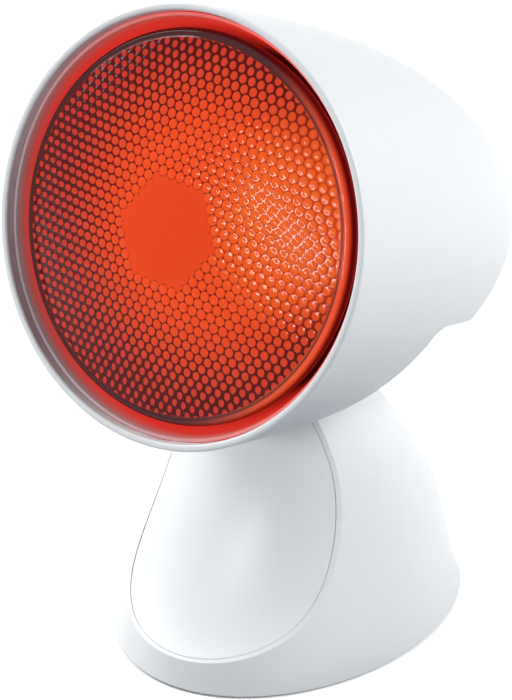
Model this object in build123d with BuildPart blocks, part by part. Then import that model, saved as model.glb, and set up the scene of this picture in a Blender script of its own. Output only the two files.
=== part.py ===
from build123d import *
import os
from math import atan2, cos, degrees, radians, sin, sqrt

os.makedirs("parts", exist_ok=True)

# Infrared heat lamp on a bell-shaped foot. Millimetres. Origin on the table under the middle of the whole
# lamp's outline, +Z up, the lamp looks along -Y.

# ---- lamp head ------------------------------------------------------------------------------------------
head_pitch = 17.7        # lamp axis above the horizontal, middle of the five tilt positions
shell_droop = 1.1        # the dome's back end sinks this much below the lamp axis
rim_y = -69.3            # middle of the mouth
rim_z = 158.4
shade_gap = 5.1          # air between the bulb and the shade at the mouth
back_room = 26.0         # from the lampholder's end to the end of the dome
dome_taper = -11.1       # change of radius along the dome before its end closes
dome_squareness = 2.72   # how late the side turns in towards the end
dome_bluntness = 1.8     # how round the end is
shell_wall = 2.4
lip_round = 0.9

# flats on the underside that clear the foot, one on each side
flat_yaw = 36.4
flat_pitch = 26.5
flat_corner = (41.7, 87.3)
flat_slope_front = 36.5
flat_slope_rear = 12.6
flat_corner_round = 3.5
neck_slot_width = 62.0
neck_slot_front = -51.8
neck_slot_rear = 42.2
neck_slot_round = 26.0
neck_slot_top = 108.0

vent_rows = 3            # above the bracket's bosses, and as many below
vent_pitch = 5.6
vent_height = 2.6
vent_margin = 9.0
vent_width = 32.0
vent_narrowing = 5.0
vent_droop = 2.9
vent_start = 138.0

# ---- reflector bulb (PAR38) -----------------------------------------------------------------------------
bulb_radius = 60.5
bead_depth = 6.2         # widest part of the glass bead behind the mouth
bead_width = 2.9         # of the glass bead outside the lens
lens_edge_depth = 3.4
lens_rise = 8.2
lens_glass = 2.6
groove = 0.9             # between the lens and the bead
joint_depth = 8.6        # lens and reflector are fused here
reflector_start = 10.8
mouth_setback = 3.3      # of the reflector's mouth inside the bead
reflector_neck = 19.0
reflector_end = 87.0
reflector_glass = 2.0
reflector_waist = 68.4   # depth at which the side's two tangents meet
neck_end = 100.0
cap_radius = 13.1
cap_wall = 0.6
cap_flare = 6.0          # from the neck's width to the cap's
cap_length = 18.0
insulator_height = 5.5
contact_radius = 4.8
contact_height = 1.5
filament_depth = 84.0
filament_radius = 7.0
post_spread = 6.0
post_radius = 0.6
stem_radius = 5.0
stem_foot = 1.5          # thickness of the disc that closes the neck
stem_length = 7.0

# ---- lampholder (E27, ceramic) --------------------------------------------------------------------------
holder_lap = 0.8         # past the start of the cap's straight part
holder_floor = 8.0
holder_radius = 19.5
holder_waist = 16.0
waist_length = 14.0
holder_bore = 14.6
contact_room = 2.0       # behind the bulb's contact
sleeve_wall = 0.8
sleeve_lip = 3.0
cap_clearance = 0.3
nipple_radius = 5.0
nipple_bore = 3.4
nipple_length = 9.0
nut_radius = 8.0
nut_height = 3.0

# ---- bowl between the bulb and the dome -----------------------------------------------------------------
liner_clearance = 0.6    # to the shade's inside
liner_start = 3.2
liner_end = 92.0
liner_end_gap = 6.0      # round the bulb's neck
liner_pull = 12.5        # how far the side is drawn in at its waist
liner_waist_depth = 45.0
liner_wall = 1.0

# ---- tilt joint -----------------------------------------------------------------------------------------
pivot_y = -7.8
pivot_z = 90.0
axle_radius = 4.0
axle_bore = 2.6
axle_proud = 1.8         # past the cheek's seat, for the clip
running_clearance = 0.05
clip_radius = 6.0
clip_thickness = 0.8
groove_radius = 3.4
hub_radius = 12.0
hub_half_width = 14.8
washer_gap = 0.1
washer_radius = 9.5
cheek_inner = 16.4
cheek_radius = 13.0
cheek_seat = 19.6        # flat outside of the cheek that carries the clip
seat_radius = 7.0
bush_radius = 5.6
notch_pitch = 10.0
notch_count = 5
notch_radius = 1.7
notch_centre = 12.4
arm_half_width = 9.0
arm_tip_margin = 8.0     # past the strip's screws
arm_tip_thickness = 3.9
arm_heel = (89.5, -52.8)
spring_thickness = 0.7
spring_half_width = 6.0
spring_nose = 1.35
spring_half_length = 13.0
spring_shoulder = 9.0    # where the strip leaves the floor
spring_clearance = 0.3

# ---- bracket behind the lampholder ----------------------------------------------------------------------
steel = 1.6
bracket_half_width = 12.0
bracket_top = 13.0
terminal_setback = 2.0   # from the lampholder's end
terminal_seat = 12.5
terminal_spread = 2.4
terminal_width = 3.6
terminal_length = 6.0
terminal_height = 5.0
strip_top = -22.5
strip_lead = 11.0        # of the strip before its screws
ear_half_width = 3.4
ear_screw = 21.9
boss_radius = 3.4
strip_screw_depth = 112.0
strip_screw_spread = 6.0
arm_rib = 3.0
arm_wall = 3.0
screw_radius = 1.45
screw_head = 2.5
screw_head_height = 1.7
screw_clearance = 0.1
screw_length = 6.0

# ---- leads ----------------------------------------------------------------------------------------------
wire_radius = 0.9
wire_bend = 2.5
wire_channel = 2.3       # depth of the groove in the cheek
wire_way_width = 7.0     # way through the hub and along the arm, for two wires
wire_way_depth = 2.2

# ---- foot -----------------------------------------------------------------------------------------------
# height, half width, half depth and shift of the middle, for each elliptical level of the bell
bell_levels = [
    (0.0, 50.3, 66.5, -10.4),
    (12.0, 48.7, 62.7, -11.2),
    (30.0, 44.0, 58.2, -10.1),
    (50.0, 38.4, 49.5, -10.9),
    (75.0, 30.4, 35.5, -15.6),
    (106.0, 20.7, 19.2, -20.6),
]
# height, front point and half depth, for each elliptical level of the scooped front
scoop_half_width = 62.0
scoop_levels = [
    (0.0, -93.8, 50.0),
    (12.0, -71.5, 56.0),
    (26.0, -59.1, 72.0),
    (46.0, -48.2, 87.0),
    (72.0, -41.6, 113.0),
    (90.0, -39.7, 133.0),
    (110.0, -38.8, 150.0),
]
scoop_back = 90.0
foot_wall = 2.4
foot_edge = 0.8          # lower edge of the shell above the table
foot_middle = -9.8       # middle of the screws and pads, fore and aft
ceiling = 72.0
well_floor = 75.0
well_front = -23.3
neck_front = (-45.8, 77.0)
neck_rear = (25.2, 77.0)
cover_wall = 2.2
cover_lip = 0.8
cover_gap = 0.25
cover_bed = 1.8          # wall of the shell behind the cover
cover_top = 84.0
peg_radius = 2.0
peg_places = [(-18.0, 32.0), (18.0, 32.0), (0.0, 62.0)]
peg_length = 8.0

plate_bottom = 1.2
plate_wall = 2.5
plate_gap = 0.3
foot_boss_x = 34.5
foot_boss_y = 27.0
foot_boss_radius = 4.2
foot_boss_top = 34.0
foot_rib = 2.2
foot_rib_reach = 20.0    # into the wall, whatever its slope
foot_screw_radius = 1.5
foot_screw_head = 2.9
foot_screw_length = 12.0
pad_radius = 6.5
pad_x = 24.0
pad_y = 42.0
pad_height = 2.4

# ---- switch and lead inlet on the back of the foot ------------------------------------------------------
switch_z = 34.0
switch_y = 46.5
switch_lean = 20.0
switch_seat = 1.2
bezel_width = 15.5
bezel_height = 21.5
bezel_proud = 0.9
switch_margin = 3.0      # of thicker wall round the bezel
body_width = 13.0
body_height = 19.5
body_length = 15.0
rocker_width = 10.4
rocker_half_length = 7.8
rocker_rise = 1.7
rocker_valley = 0.7
rocker_depth = 4.0
rocker_swing = 8.0       # either side of level
rocker_pivot = 1.4       # behind the seat
rocker_gap = 0.3
cavity_depth = 6.4
trunnion_radius = 1.2
trunnion_length = 0.9
blade_width = 4.8
blade_thickness = 0.8
blade_length = 7.0
blade_spread = 5.5

inlet_z = 13.0
inlet_y = 51.2
inlet_lean = 16.0
inlet_seat = 0.8
inlet_bore = 3.5
inlet_neck = 4.75
inlet_flange = 7.0
inlet_margin = 1.5
flange_thickness = 1.5

block_width = 24.0
block_depth = 14.0
block_height = 11.0
block_y = -7.8
block_wire_x = 10.4
block_wire_z = 9.0
lead_spread = 1.5        # either side of the middle
lead_run = 8.0           # straight on from each blade
lead_slack = 10.0        # behind the terminal block

# ---- sizes that follow from others ----------------------------------------------------------------------
cap_start = neck_end + cap_flare
cap_end = cap_start + cap_length
insulator_end = cap_end + insulator_height
contact_end = insulator_end + contact_height
bore_end = contact_end + contact_room
sleeve_end = bore_end - sleeve_lip
holder_start = cap_start - holder_lap
holder_end = bore_end + holder_floor
waist_start = holder_end - waist_length
strip_start = strip_screw_depth - strip_lead
arm_tip_depth = strip_screw_depth + arm_tip_margin
rim_radius = bulb_radius + shade_gap + shell_wall
dome_length = holder_end + back_room
lens_radius = bulb_radius - bead_width
reflector_mouth = bulb_radius - mouth_setback
liner_radius = bulb_radius + shade_gap - liner_clearance
liner_end_radius = reflector_neck + liner_end_gap
liner_waist = (liner_radius - liner_pull, liner_waist_depth)
terminal_depth = holder_end - terminal_length / 2 - terminal_setback

BASE = (Align.CENTER, Align.CENTER, Align.MIN)
TOP = (Align.CENTER, Align.CENTER, Align.MAX)

# ---- frames of the lamp head ----------------------------------------------------------------------------
rim_centre = Vector(0, rim_y, rim_z)
pitch_cos, pitch_sin = cos(radians(head_pitch)), sin(radians(head_pitch))
dome_pitch = radians(head_pitch + shell_droop)
lamp_forward = Vector(0, -pitch_cos, pitch_sin)
lamp_up = Vector(0, pitch_sin, pitch_cos)
lamp_axis = Axis(rim_centre, lamp_forward)
# sketch planes whose Y runs forward along the axis, so a depth is a negative Y
lamp_section = Plane(origin=rim_centre, x_dir=(1, 0, 0), z_dir=-lamp_up)
dome_forward = Vector(0, -cos(dome_pitch), sin(dome_pitch))
dome_axis = Axis(rim_centre, dome_forward)
dome_section = Plane(origin=rim_centre, x_dir=(1, 0, 0), z_dir=(0, -sin(dome_pitch), -cos(dome_pitch)))
mouth_plane = Plane(origin=rim_centre, x_dir=(1, 0, 0), z_dir=lamp_forward)
# side view of the head: sketch X is the depth behind the mouth, sketch Y is up
lamp_side = Plane(origin=rim_centre, x_dir=-lamp_forward, z_dir=(1, 0, 0))


def lamp_point(x, up, depth):
    """The place of a point given across, above and behind the middle of the mouth."""
    return rim_centre + Vector(x, 0, 0) + lamp_up * up - lamp_forward * depth


def cross_plane(depth):
    """A plane across the lamp axis, looking forward."""
    return mouth_plane.offset(-depth)


pivot = Vector(0, pivot_y, pivot_z)
pivot_depth = -(pivot - rim_centre).dot(lamp_forward)
pivot_up = (pivot - rim_centre).dot(lamp_up)
pivot_side = Plane(origin=pivot, x_dir=(0, 1, 0), z_dir=(1, 0, 0))
strip_plane = Plane(origin=lamp_point(0, strip_top, 0), x_dir=-lamp_forward, z_dir=lamp_up)
terminal_plane = Plane(origin=lamp_point(0, -terminal_seat, terminal_depth), x_dir=(1, 0, 0), z_dir=-lamp_up)
wire_way_plane = Plane(origin=pivot, x_dir=(1, 0, 0), z_dir=lamp_up)


def dome_form(inset):
    """The dome as a solid of revolution, moved in by a wall."""
    length = dome_length - inset
    steps = 12
    points = []
    for step in range(steps + 1):
        turn = radians(90) * (step / steps) ** 0.8
        depth = length * sin(turn) ** (2 / dome_squareness)
        radius = (rim_radius - inset + dome_taper * depth / length) * max(cos(turn), 0) ** (2 / dome_bluntness)
        points.append((max(radius, 0), -depth))
    points[-1] = (0, -length)
    lead_in = 4.0
    front = (rim_radius - inset - dome_taper * lead_in / length, lead_in)
    with BuildPart() as form:
        with BuildSketch(dome_section):
            with BuildLine():
                side = Spline(*points, tangents=[(dome_taper / length, -1), (-1, 0)])
                Polyline(side @ 1, (0, lead_in), front, side @ 0)
            make_face()
        revolve(axis=dome_axis)
    return form.part


def under_flats(inset):
    """What the flats take off the underside, both sides."""
    yaw, pitch = radians(flat_yaw), radians(flat_pitch)
    sight = Vector(sin(yaw) * cos(pitch), -cos(yaw) * cos(pitch), sin(pitch))
    plane = Plane(origin=(0, 0, 0), x_dir=(cos(yaw), sin(yaw), 0), z_dir=sight)
    reach = 90.0
    front, rear = radians(flat_slope_front), radians(flat_slope_rear)
    corner_x, corner_y = flat_corner[0], flat_corner[1] + inset * 1.2
    low = (corner_x - reach * cos(front), corner_y - reach * sin(front))
    high = (corner_x + reach * cos(rear), corner_y + reach * sin(rear))
    with BuildPart() as cut:
        with BuildSketch(plane):
            with BuildLine():
                FilletPolyline(low, (corner_x, corner_y), high, radius=flat_corner_round)
                Polyline(high, (high[0], low[1]), low)
            make_face()
        extrude(amount=reach, both=True)
        mirror(about=Plane.YZ)
    return cut.part


def bell_form(inset):
    """The foot's bell, moved in by a wall."""
    with BuildPart() as form:
        for height, half_width, half_depth, shift in bell_levels:
            with BuildSketch(Plane.XY.offset(height)):
                with Locations((0, shift)):
                    Ellipse(half_width - inset, half_depth - inset)
        loft()
    return form.part


def scoop_form(inset):
    """All that lies behind the foot's scooped front, moved in by a wall."""
    half_width = scoop_half_width - inset
    with BuildPart() as form:
        for height, front, half_depth in scoop_levels:
            middle = front + half_depth
            with BuildSketch(Plane.XY.offset(height)):
                with BuildLine():
                    EllipticalCenterArc((0, middle), half_width, half_depth - inset, start_angle=180,
                                        arc_size=180)
                    Polyline((half_width, middle), (half_width, middle + scoop_back),
                             (-half_width, middle + scoop_back), (-half_width, middle))
                make_face()
        loft()
    return form.part


def side_profile(inset):
    """The foot's side view as a block: full below the shoulder, then a rounded fork about the pivot."""
    reach = 100.0
    with BuildPart() as form:
        with BuildSketch(Plane.YZ):
            with BuildLine():
                CenterArc((pivot_y, pivot_z), cheek_radius - inset, 0, 360)
                Line((neck_front[0] + inset, neck_front[1]), (neck_rear[0] - inset, neck_rear[1]))
            make_hull()
            with Locations((0, neck_front[1])):
                Rectangle(2 * reach, neck_front[1], align=(Align.CENTER, Align.MAX))
        extrude(amount=reach, both=True)
    return form.part


def save(piece, label):
    """Name a finished piece and write it."""
    piece.part.label = label
    export_step(piece.part, f"parts/{label}.step")


def slab(low, high):
    """Everything between two heights."""
    with BuildPart() as layer:
        with BuildSketch(Plane.XY.offset(low)):
            Rectangle(400, 400)
        extrude(amount=high - low)
    return layer.part


def tube_path(piece_plane, points, radius, bend):
    """A wire through the given points of a plane, with rounded turns."""
    with BuildPart() as wire:
        with BuildLine(piece_plane) as route:
            FilletPolyline(*points, radius=bend)
        with BuildSketch(Plane(origin=route.line @ 0, z_dir=route.line % 0)):
            Circle(radius)
        sweep()
    return wire.part


# ==== foot ===============================================================================================
switch_out = Vector(0, cos(radians(switch_lean)), sin(radians(switch_lean)))
inlet_out = Vector(0, cos(radians(inlet_lean)), sin(radians(inlet_lean)))
switch_plane = Plane(origin=(0, switch_y, switch_z), x_dir=(1, 0, 0), z_dir=switch_out).offset(-switch_seat)
inlet_plane = Plane(origin=(0, inlet_y, inlet_z), x_dir=(1, 0, 0), z_dir=inlet_out).offset(-inlet_seat)
plate_top = plate_bottom + plate_wall
foot_plane = Plane.XY.shift_origin((0, foot_middle, 0))

# pads that keep the wall thick behind the flats for the switch and the inlet
with BuildPart() as rear_pads:
    with BuildSketch(switch_plane):
        RectangleRounded(bezel_width + 2 * switch_margin, bezel_height + 2 * switch_margin, switch_margin)
    with BuildSketch(inlet_plane):
        Circle(inlet_flange + inlet_margin)
    extrude(amount=-foot_wall)

# screw bosses, each with a rib out to the wall
boss_turn = degrees(atan2(foot_boss_y, foot_boss_x))
with BuildPart() as foot_bosses:
    with BuildSketch(foot_plane.offset(plate_top)):
        with GridLocations(2 * foot_boss_x, 2 * foot_boss_y, 2, 2):
            Circle(foot_boss_radius)
        for turn in (boss_turn, 180 - boss_turn, 180 + boss_turn, -boss_turn):
            with Locations(Location((0, 0, 0), (0, 0, turn))):
                with Locations((sqrt(foot_boss_x**2 + foot_boss_y**2), 0)):
                    Rectangle(foot_rib_reach, foot_rib, align=(Align.MIN, Align.CENTER))
    extrude(amount=foot_boss_top - plate_top)

bed_depth = cover_wall + plate_gap
with BuildPart() as foot_room:
    add(bell_form(foot_wall))
    add(scoop_form(bed_depth + cover_bed), mode=Mode.INTERSECT)
    add(slab(-10, ceiling), mode=Mode.INTERSECT)
    add(rear_pads.part, mode=Mode.SUBTRACT)
    add(foot_bosses.part, mode=Mode.SUBTRACT)

# the shallow bed in the scooped front that takes the cover
with BuildPart() as cover_bed_form:
    add(bell_form(cover_lip))
    add(side_profile(cover_lip), mode=Mode.INTERSECT)
    add(slab(-10, cover_top + cover_gap), mode=Mode.INTERSECT)
    add(scoop_form(bed_depth), mode=Mode.SUBTRACT)

lead_x = cheek_inner + wire_channel - wire_radius - 0.1
with BuildPart() as foot_shell:
    add(bell_form(0))
    add(scoop_form(0), mode=Mode.INTERSECT)
    add(side_profile(0), mode=Mode.INTERSECT)
    add(slab(foot_edge, 200), mode=Mode.INTERSECT)
    add(foot_room.part, mode=Mode.SUBTRACT)
    add(cover_bed_form.part, mode=Mode.SUBTRACT)
    # well between the cheeks, open to the back
    with BuildSketch(Plane.XY.offset(well_floor)):
        with Locations((0, well_front)):
            Rectangle(2 * cheek_inner, 100, align=(Align.CENTER, Align.MIN))
    extrude(amount=60, mode=Mode.SUBTRACT)
    # axle hole and the flats for its clips
    with BuildSketch(pivot_side):
        Circle(axle_radius)
    extrude(amount=40, both=True, mode=Mode.SUBTRACT)
    for side in (-1, 1):
        with BuildSketch(pivot_side.offset(side * cheek_seat)):
            Circle(seat_radius)
        extrude(amount=side * 20, mode=Mode.SUBTRACT)
    # groove in the right cheek that leads the wires up to the axle
    with BuildSketch(Plane.XY.offset(ceiling)):
        with Locations((cheek_inner, pivot_y)):
            Rectangle(wire_channel, 4 * wire_radius + 0.4, align=(Align.MIN, Align.CENTER))
    extrude(amount=pivot_z - ceiling, mode=Mode.SUBTRACT)
    # flats and openings in the back
    with BuildSketch(switch_plane):
        RectangleRounded(bezel_width + 1, bezel_height + 1, 1.5)
    with BuildSketch(inlet_plane):
        Circle(inlet_flange + 0.5)
    extrude(amount=8, mode=Mode.SUBTRACT)
    with BuildSketch(switch_plane):
        Rectangle(body_width + 0.2, body_height + 0.2)
    with BuildSketch(inlet_plane):
        Circle(inlet_neck)
    extrude(amount=-8, mode=Mode.SUBTRACT)
    # holes for the cover's pegs and the screws from below
    for x, z in peg_places:
        with BuildSketch(Plane.XZ.shift_origin((x, 0, z)).offset(-neck_front[0])):
            Circle(peg_radius + 0.15)
        extrude(amount=30, both=True, mode=Mode.SUBTRACT)
    with BuildSketch(foot_plane.offset(plate_top)):
        with GridLocations(2 * foot_boss_x, 2 * foot_boss_y, 2, 2):
            Circle(foot_screw_radius)
    extrude(amount=foot_screw_length, mode=Mode.SUBTRACT)
save(foot_shell, "foot_shell")


def scoop_front(x, z):
    """How far forward the scooped front lies at a place."""
    ray = Line((x, -100, z), (x, 0, z))
    return min((ray & scoop_form(0)).vertices(), key=lambda corner: corner.Y).Y


# pegs reach from inside the cover's wall through the shell
with BuildPart() as cover_pegs:
    for x, z in peg_places:
        start = scoop_front(x, z) + cover_wall / 2
        with BuildSketch(Plane(origin=(x, start, z), x_dir=(1, 0, 0), z_dir=(0, 1, 0))):
            Circle(peg_radius)
        extrude(amount=peg_length)
    add(scoop_form(cover_wall / 2), mode=Mode.INTERSECT)

with BuildPart() as front_cover:
    add(bell_form(cover_lip + cover_gap))
    add(scoop_form(0), mode=Mode.INTERSECT)
    add(side_profile(cover_lip + cover_gap), mode=Mode.INTERSECT)
    add(slab(-10, cover_top), mode=Mode.INTERSECT)
    add(scoop_form(cover_wall), mode=Mode.SUBTRACT)
    add(cover_pegs.part)
save(front_cover, "front_cover")

with BuildPart() as base_plate:
    add(bell_form(foot_wall + plate_gap))
    add(slab(plate_bottom, plate_top), mode=Mode.INTERSECT)
    with BuildSketch(foot_plane.offset(plate_bottom)):
        with GridLocations(2 * pad_x, 2 * pad_y, 2, 2):
            Circle(pad_radius)
    extrude(amount=pad_height - plate_bottom, mode=Mode.SUBTRACT)
    with Locations(foot_plane.offset(plate_bottom)):
        with GridLocations(2 * foot_boss_x, 2 * foot_boss_y, 2, 2):
            Cylinder(foot_screw_radius, plate_wall, align=BASE, mode=Mode.SUBTRACT)
            Cone(foot_screw_head, foot_screw_radius, foot_screw_head - foot_screw_radius, align=BASE,
                 mode=Mode.SUBTRACT)
save(base_plate, "base_plate")

with BuildPart() as rubber_feet:
    with Locations(foot_plane):
        with GridLocations(2 * pad_x, 2 * pad_y, 2, 2):
            Cylinder(pad_radius, pad_height, align=BASE)
    chamfer(rubber_feet.faces().sort_by(Axis.Z)[:4].edges(), 0.5)
save(rubber_feet, "rubber_feet")

shank = foot_screw_radius - running_clearance
with BuildPart() as base_screws:
    with Locations(foot_plane.offset(plate_bottom)):
        with GridLocations(2 * foot_boss_x, 2 * foot_boss_y, 2, 2):
            Cylinder(shank, foot_screw_length, align=BASE)
            Cone(foot_screw_head - running_clearance, shank, foot_screw_head - foot_screw_radius, align=BASE)
            Box(3.2, 0.7, 1.4, mode=Mode.SUBTRACT)
            Box(0.7, 3.2, 1.4, mode=Mode.SUBTRACT)
save(base_screws, "base_screws")

with BuildPart() as cable_grommet:
    with Locations(inlet_plane):
        Cylinder(inlet_neck, foot_wall, align=TOP)
        Cylinder(inlet_flange, flange_thickness, align=BASE)
    fillet(cable_grommet.faces().sort_by(Axis.Y)[-1].edges(), 0.9)
    with Locations(inlet_plane.offset(-foot_wall)):
        Cylinder(inlet_flange - 1, flange_thickness, align=TOP)
    with Locations(inlet_plane):
        Cylinder(inlet_bore, 20, mode=Mode.SUBTRACT)
save(cable_grommet, "cable_grommet")

with BuildPart() as terminal_block:
    with Locations((0, block_y, plate_top)):
        Box(block_width, block_depth, block_height, align=BASE)
    fillet(terminal_block.edges().filter_by(Axis.Z), 1)
    with Locations((0, block_y, plate_top + block_height)):
        with GridLocations(block_width / 2, 0, 2, 1):
            Cylinder(2.6, 4, align=TOP, mode=Mode.SUBTRACT)
    with Locations((0, block_y, plate_top + 4)):
        with GridLocations(block_width / 2, 0, 2, 1):
            Cylinder(1.8, block_depth + 2, rotation=(90, 0, 0), mode=Mode.SUBTRACT)
save(terminal_block, "terminal_block")

with BuildPart() as terminal_screws:
    with Locations((0, block_y, plate_top + block_height - 1)):
        with GridLocations(block_width / 2, 0, 2, 1):
            Cylinder(2.5, 3, align=TOP)
            Box(6, 0.8, 1.2, mode=Mode.SUBTRACT)
save(terminal_screws, "terminal_screws")

# ==== switch =============================================================================================
with BuildPart() as switch_housing:
    with BuildSketch(switch_plane):
        RectangleRounded(bezel_width, bezel_height, 1)
    extrude(amount=bezel_proud)
    fillet(switch_housing.faces().sort_by(Axis(switch_plane.origin, switch_out))[-1].edges(), 0.5)
    with BuildSketch(switch_plane):
        Rectangle(body_width, body_height)
    extrude(amount=-body_length)
    cavity_length = 2 * (sqrt(rocker_half_length**2 + (rocker_pivot + rocker_rise) ** 2) + rocker_gap)
    with BuildSketch(switch_plane.offset(bezel_proud)):
        Rectangle(rocker_width + 2 * rocker_gap, cavity_length)
    extrude(amount=-bezel_proud - cavity_depth, mode=Mode.SUBTRACT)
    with BuildSketch(Plane(origin=switch_plane.origin - switch_out * rocker_pivot, z_dir=(1, 0, 0))):
        Circle(trunnion_radius + running_clearance)
    extrude(amount=rocker_width / 2 + trunnion_length + rocker_gap, both=True, mode=Mode.SUBTRACT)
    with Locations(switch_plane.offset(-body_length)):
        with GridLocations(0, blade_spread, 1, 3):
            Box(blade_width, blade_thickness, 2, align=BASE, mode=Mode.SUBTRACT)
save(switch_housing, "switch_housing")

with BuildPart() as switch_terminals:
    with Locations(switch_plane.offset(-body_length + 2)):
        with GridLocations(0, blade_spread, 1, 3):
            Box(blade_width, blade_thickness, blade_length + 2, align=TOP)
save(switch_terminals, "switch_terminals")

# rocker in the off position, its lower end pressed in
rocker_lean = radians(switch_lean - rocker_swing)
rocker_side = Plane(
    origin=switch_plane.origin - switch_out * rocker_pivot,
    x_dir=(0, cos(rocker_lean), sin(rocker_lean)),
    z_dir=(1, 0, 0),
)
with BuildPart() as switch_rocker:
    with BuildSketch(rocker_side):
        with BuildLine():
            high, valley = rocker_pivot + rocker_rise, rocker_pivot + rocker_valley
            Polyline(
                (high, -rocker_half_length), (rocker_pivot - 1, -rocker_half_length + 0.4),
                (-rocker_depth + rocker_pivot, -3), (-rocker_depth + rocker_pivot, 3),
                (rocker_pivot - 1, rocker_half_length - 0.4), (high, rocker_half_length),
                (valley, 0), close=True,
            )
        make_face()
    extrude(amount=rocker_width / 2, both=True)
    fillet(switch_rocker.edges().filter_by(Axis.X).group_by(Axis(rocker_side.origin, switch_out))[-1], 0.4)
    with BuildSketch(rocker_side):
        Circle(trunnion_radius)
    extrude(amount=rocker_width / 2 + trunnion_length, both=True)
save(switch_rocker, "switch_rocker")

# ==== tilt joint =========================================================================================
axle_half = cheek_seat + axle_proud
clip_inner = cheek_seat + running_clearance
with BuildPart() as hinge_axle:
    with BuildSketch(pivot_side):
        Circle(axle_radius)
    extrude(amount=axle_half, both=True)
    for side in (-1, 1):
        with BuildSketch(pivot_side.offset(side * clip_inner)):
            Circle(axle_radius)
            Circle(groove_radius, mode=Mode.SUBTRACT)
        extrude(amount=side * clip_thickness, mode=Mode.SUBTRACT)
    with BuildSketch(pivot_side):
        Circle(axle_bore)
    extrude(amount=axle_half, both=True, mode=Mode.SUBTRACT)
    # the wires come in through the cheek and leave at the top for the arm
    with BuildSketch(Plane.XY.offset(pivot_z)):
        with Locations((lead_x, pivot_y)):
            SlotOverall(4 * wire_radius + 0.2, 2 * wire_radius + 0.2, rotation=90)
    extrude(amount=-2 * axle_radius, mode=Mode.SUBTRACT)
    with BuildSketch(pivot_side):
        with BuildLine():
            Polyline((0, 0), (-10, 8), (10, 8), close=True)
        make_face()
    extrude(amount=wire_way_width / 2, both=True, mode=Mode.SUBTRACT)
save(hinge_axle, "hinge_axle")

with BuildPart() as axle_clips:
    for side in (-1, 1):
        with BuildSketch(pivot_side.offset(side * clip_inner)):
            Circle(clip_radius)
            Circle(groove_radius, mode=Mode.SUBTRACT)
            Rectangle(2 * groove_radius - 1, clip_radius + 1, align=(Align.CENTER, Align.MAX),
                      mode=Mode.SUBTRACT)
        extrude(amount=side * clip_thickness)
save(axle_clips, "axle_clips")

with BuildPart() as friction_washers:
    for side in (-1, 1):
        with BuildSketch(pivot_side.offset(side * (hub_half_width + washer_gap))):
            Circle(washer_radius)
            Circle(axle_radius + running_clearance, mode=Mode.SUBTRACT)
        extrude(amount=side * (cheek_inner - hub_half_width - washer_gap))
save(friction_washers, "friction_washers")

# strip of spring steel on the floor of the well, its nose in the hub's middle notch
with BuildPart() as detent_spring:
    with BuildSketch(Plane.YZ):
        with BuildLine():
            low = well_floor + spring_thickness / 2
            nose = pivot_z - notch_centre + notch_radius - spring_clearance - spring_thickness / 2
            left = Polyline((pivot_y - spring_half_length, low), (pivot_y - spring_shoulder, low),
                            (pivot_y - spring_nose - 0.6, nose - 1.2))
            right = Polyline((pivot_y + spring_half_length, low), (pivot_y + spring_shoulder, low),
                             (pivot_y + spring_nose + 0.6, nose - 1.2))
            ThreePointArc(left @ 1, (pivot_y, nose), right @ 1)
        trace(line_width=spring_thickness)
    extrude(amount=spring_half_width, both=True)
save(detent_spring, "detent_spring")

# ==== lamp head ==========================================================================================
inner_flats = under_flats(shell_wall)
with BuildPart() as shell_room:
    add(dome_form(shell_wall))
    add(inner_flats, mode=Mode.SUBTRACT)
    # bosses that carry the bracket
    with BuildSketch(cross_plane(holder_end + steel)):
        with GridLocations(2 * ear_screw, 0, 2, 1):
            Circle(boss_radius)
    extrude(amount=-40, mode=Mode.SUBTRACT)

with BuildPart() as head_shell:
    add(dome_form(0))
    split(bisect_by=mouth_plane, keep=Keep.BOTTOM)
    add(under_flats(0), mode=Mode.SUBTRACT)
    add(shell_room.part, mode=Mode.SUBTRACT)
    fillet(head_shell.faces().sort_by(Axis(rim_centre, lamp_forward))[-1].edges(), lip_round)
    # slot round the foot's neck
    with BuildSketch(Plane.XY.offset(rim_z - rim_radius - 30)):
        with Locations((0, (neck_slot_front + neck_slot_rear) / 2)):
            RectangleRounded(neck_slot_width, neck_slot_rear - neck_slot_front, neck_slot_round)
    extrude(amount=neck_slot_top - (rim_z - rim_radius - 30), mode=Mode.SUBTRACT)
    # vents in the back, above and below the bracket's bosses
    with BuildSketch(cross_plane(vent_start)):
        for row in range(vent_rows):
            for side in (-1, 1):
                with Locations((0, side * (vent_margin + row * vent_pitch) - vent_droop)):
                    SlotOverall(vent_width - row * vent_narrowing, vent_height)
    extrude(amount=-40, mode=Mode.SUBTRACT)
    with BuildSketch(cross_plane(holder_end + steel)):
        with GridLocations(2 * ear_screw, 0, 2, 1):
            Circle(screw_radius)
    extrude(amount=-screw_length, mode=Mode.SUBTRACT)
save(head_shell, "head_shell")

with BuildPart() as lamp_liner:
    with BuildSketch(lamp_section):
        with BuildLine():
            outside = Bezier((liner_radius, -liner_start), (liner_waist[0], -liner_waist[1]),
                             (liner_end_radius, -liner_end))
            inside = Bezier((liner_radius - liner_wall, -liner_start),
                            (liner_waist[0] - liner_wall, -liner_waist[1]),
                            (liner_end_radius - liner_wall, -liner_end))
            Line(outside @ 0, inside @ 0)
            Line(outside @ 1, inside @ 1)
        make_face()
    revolve(axis=lamp_axis)
save(lamp_liner, "lamp_liner")

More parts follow.
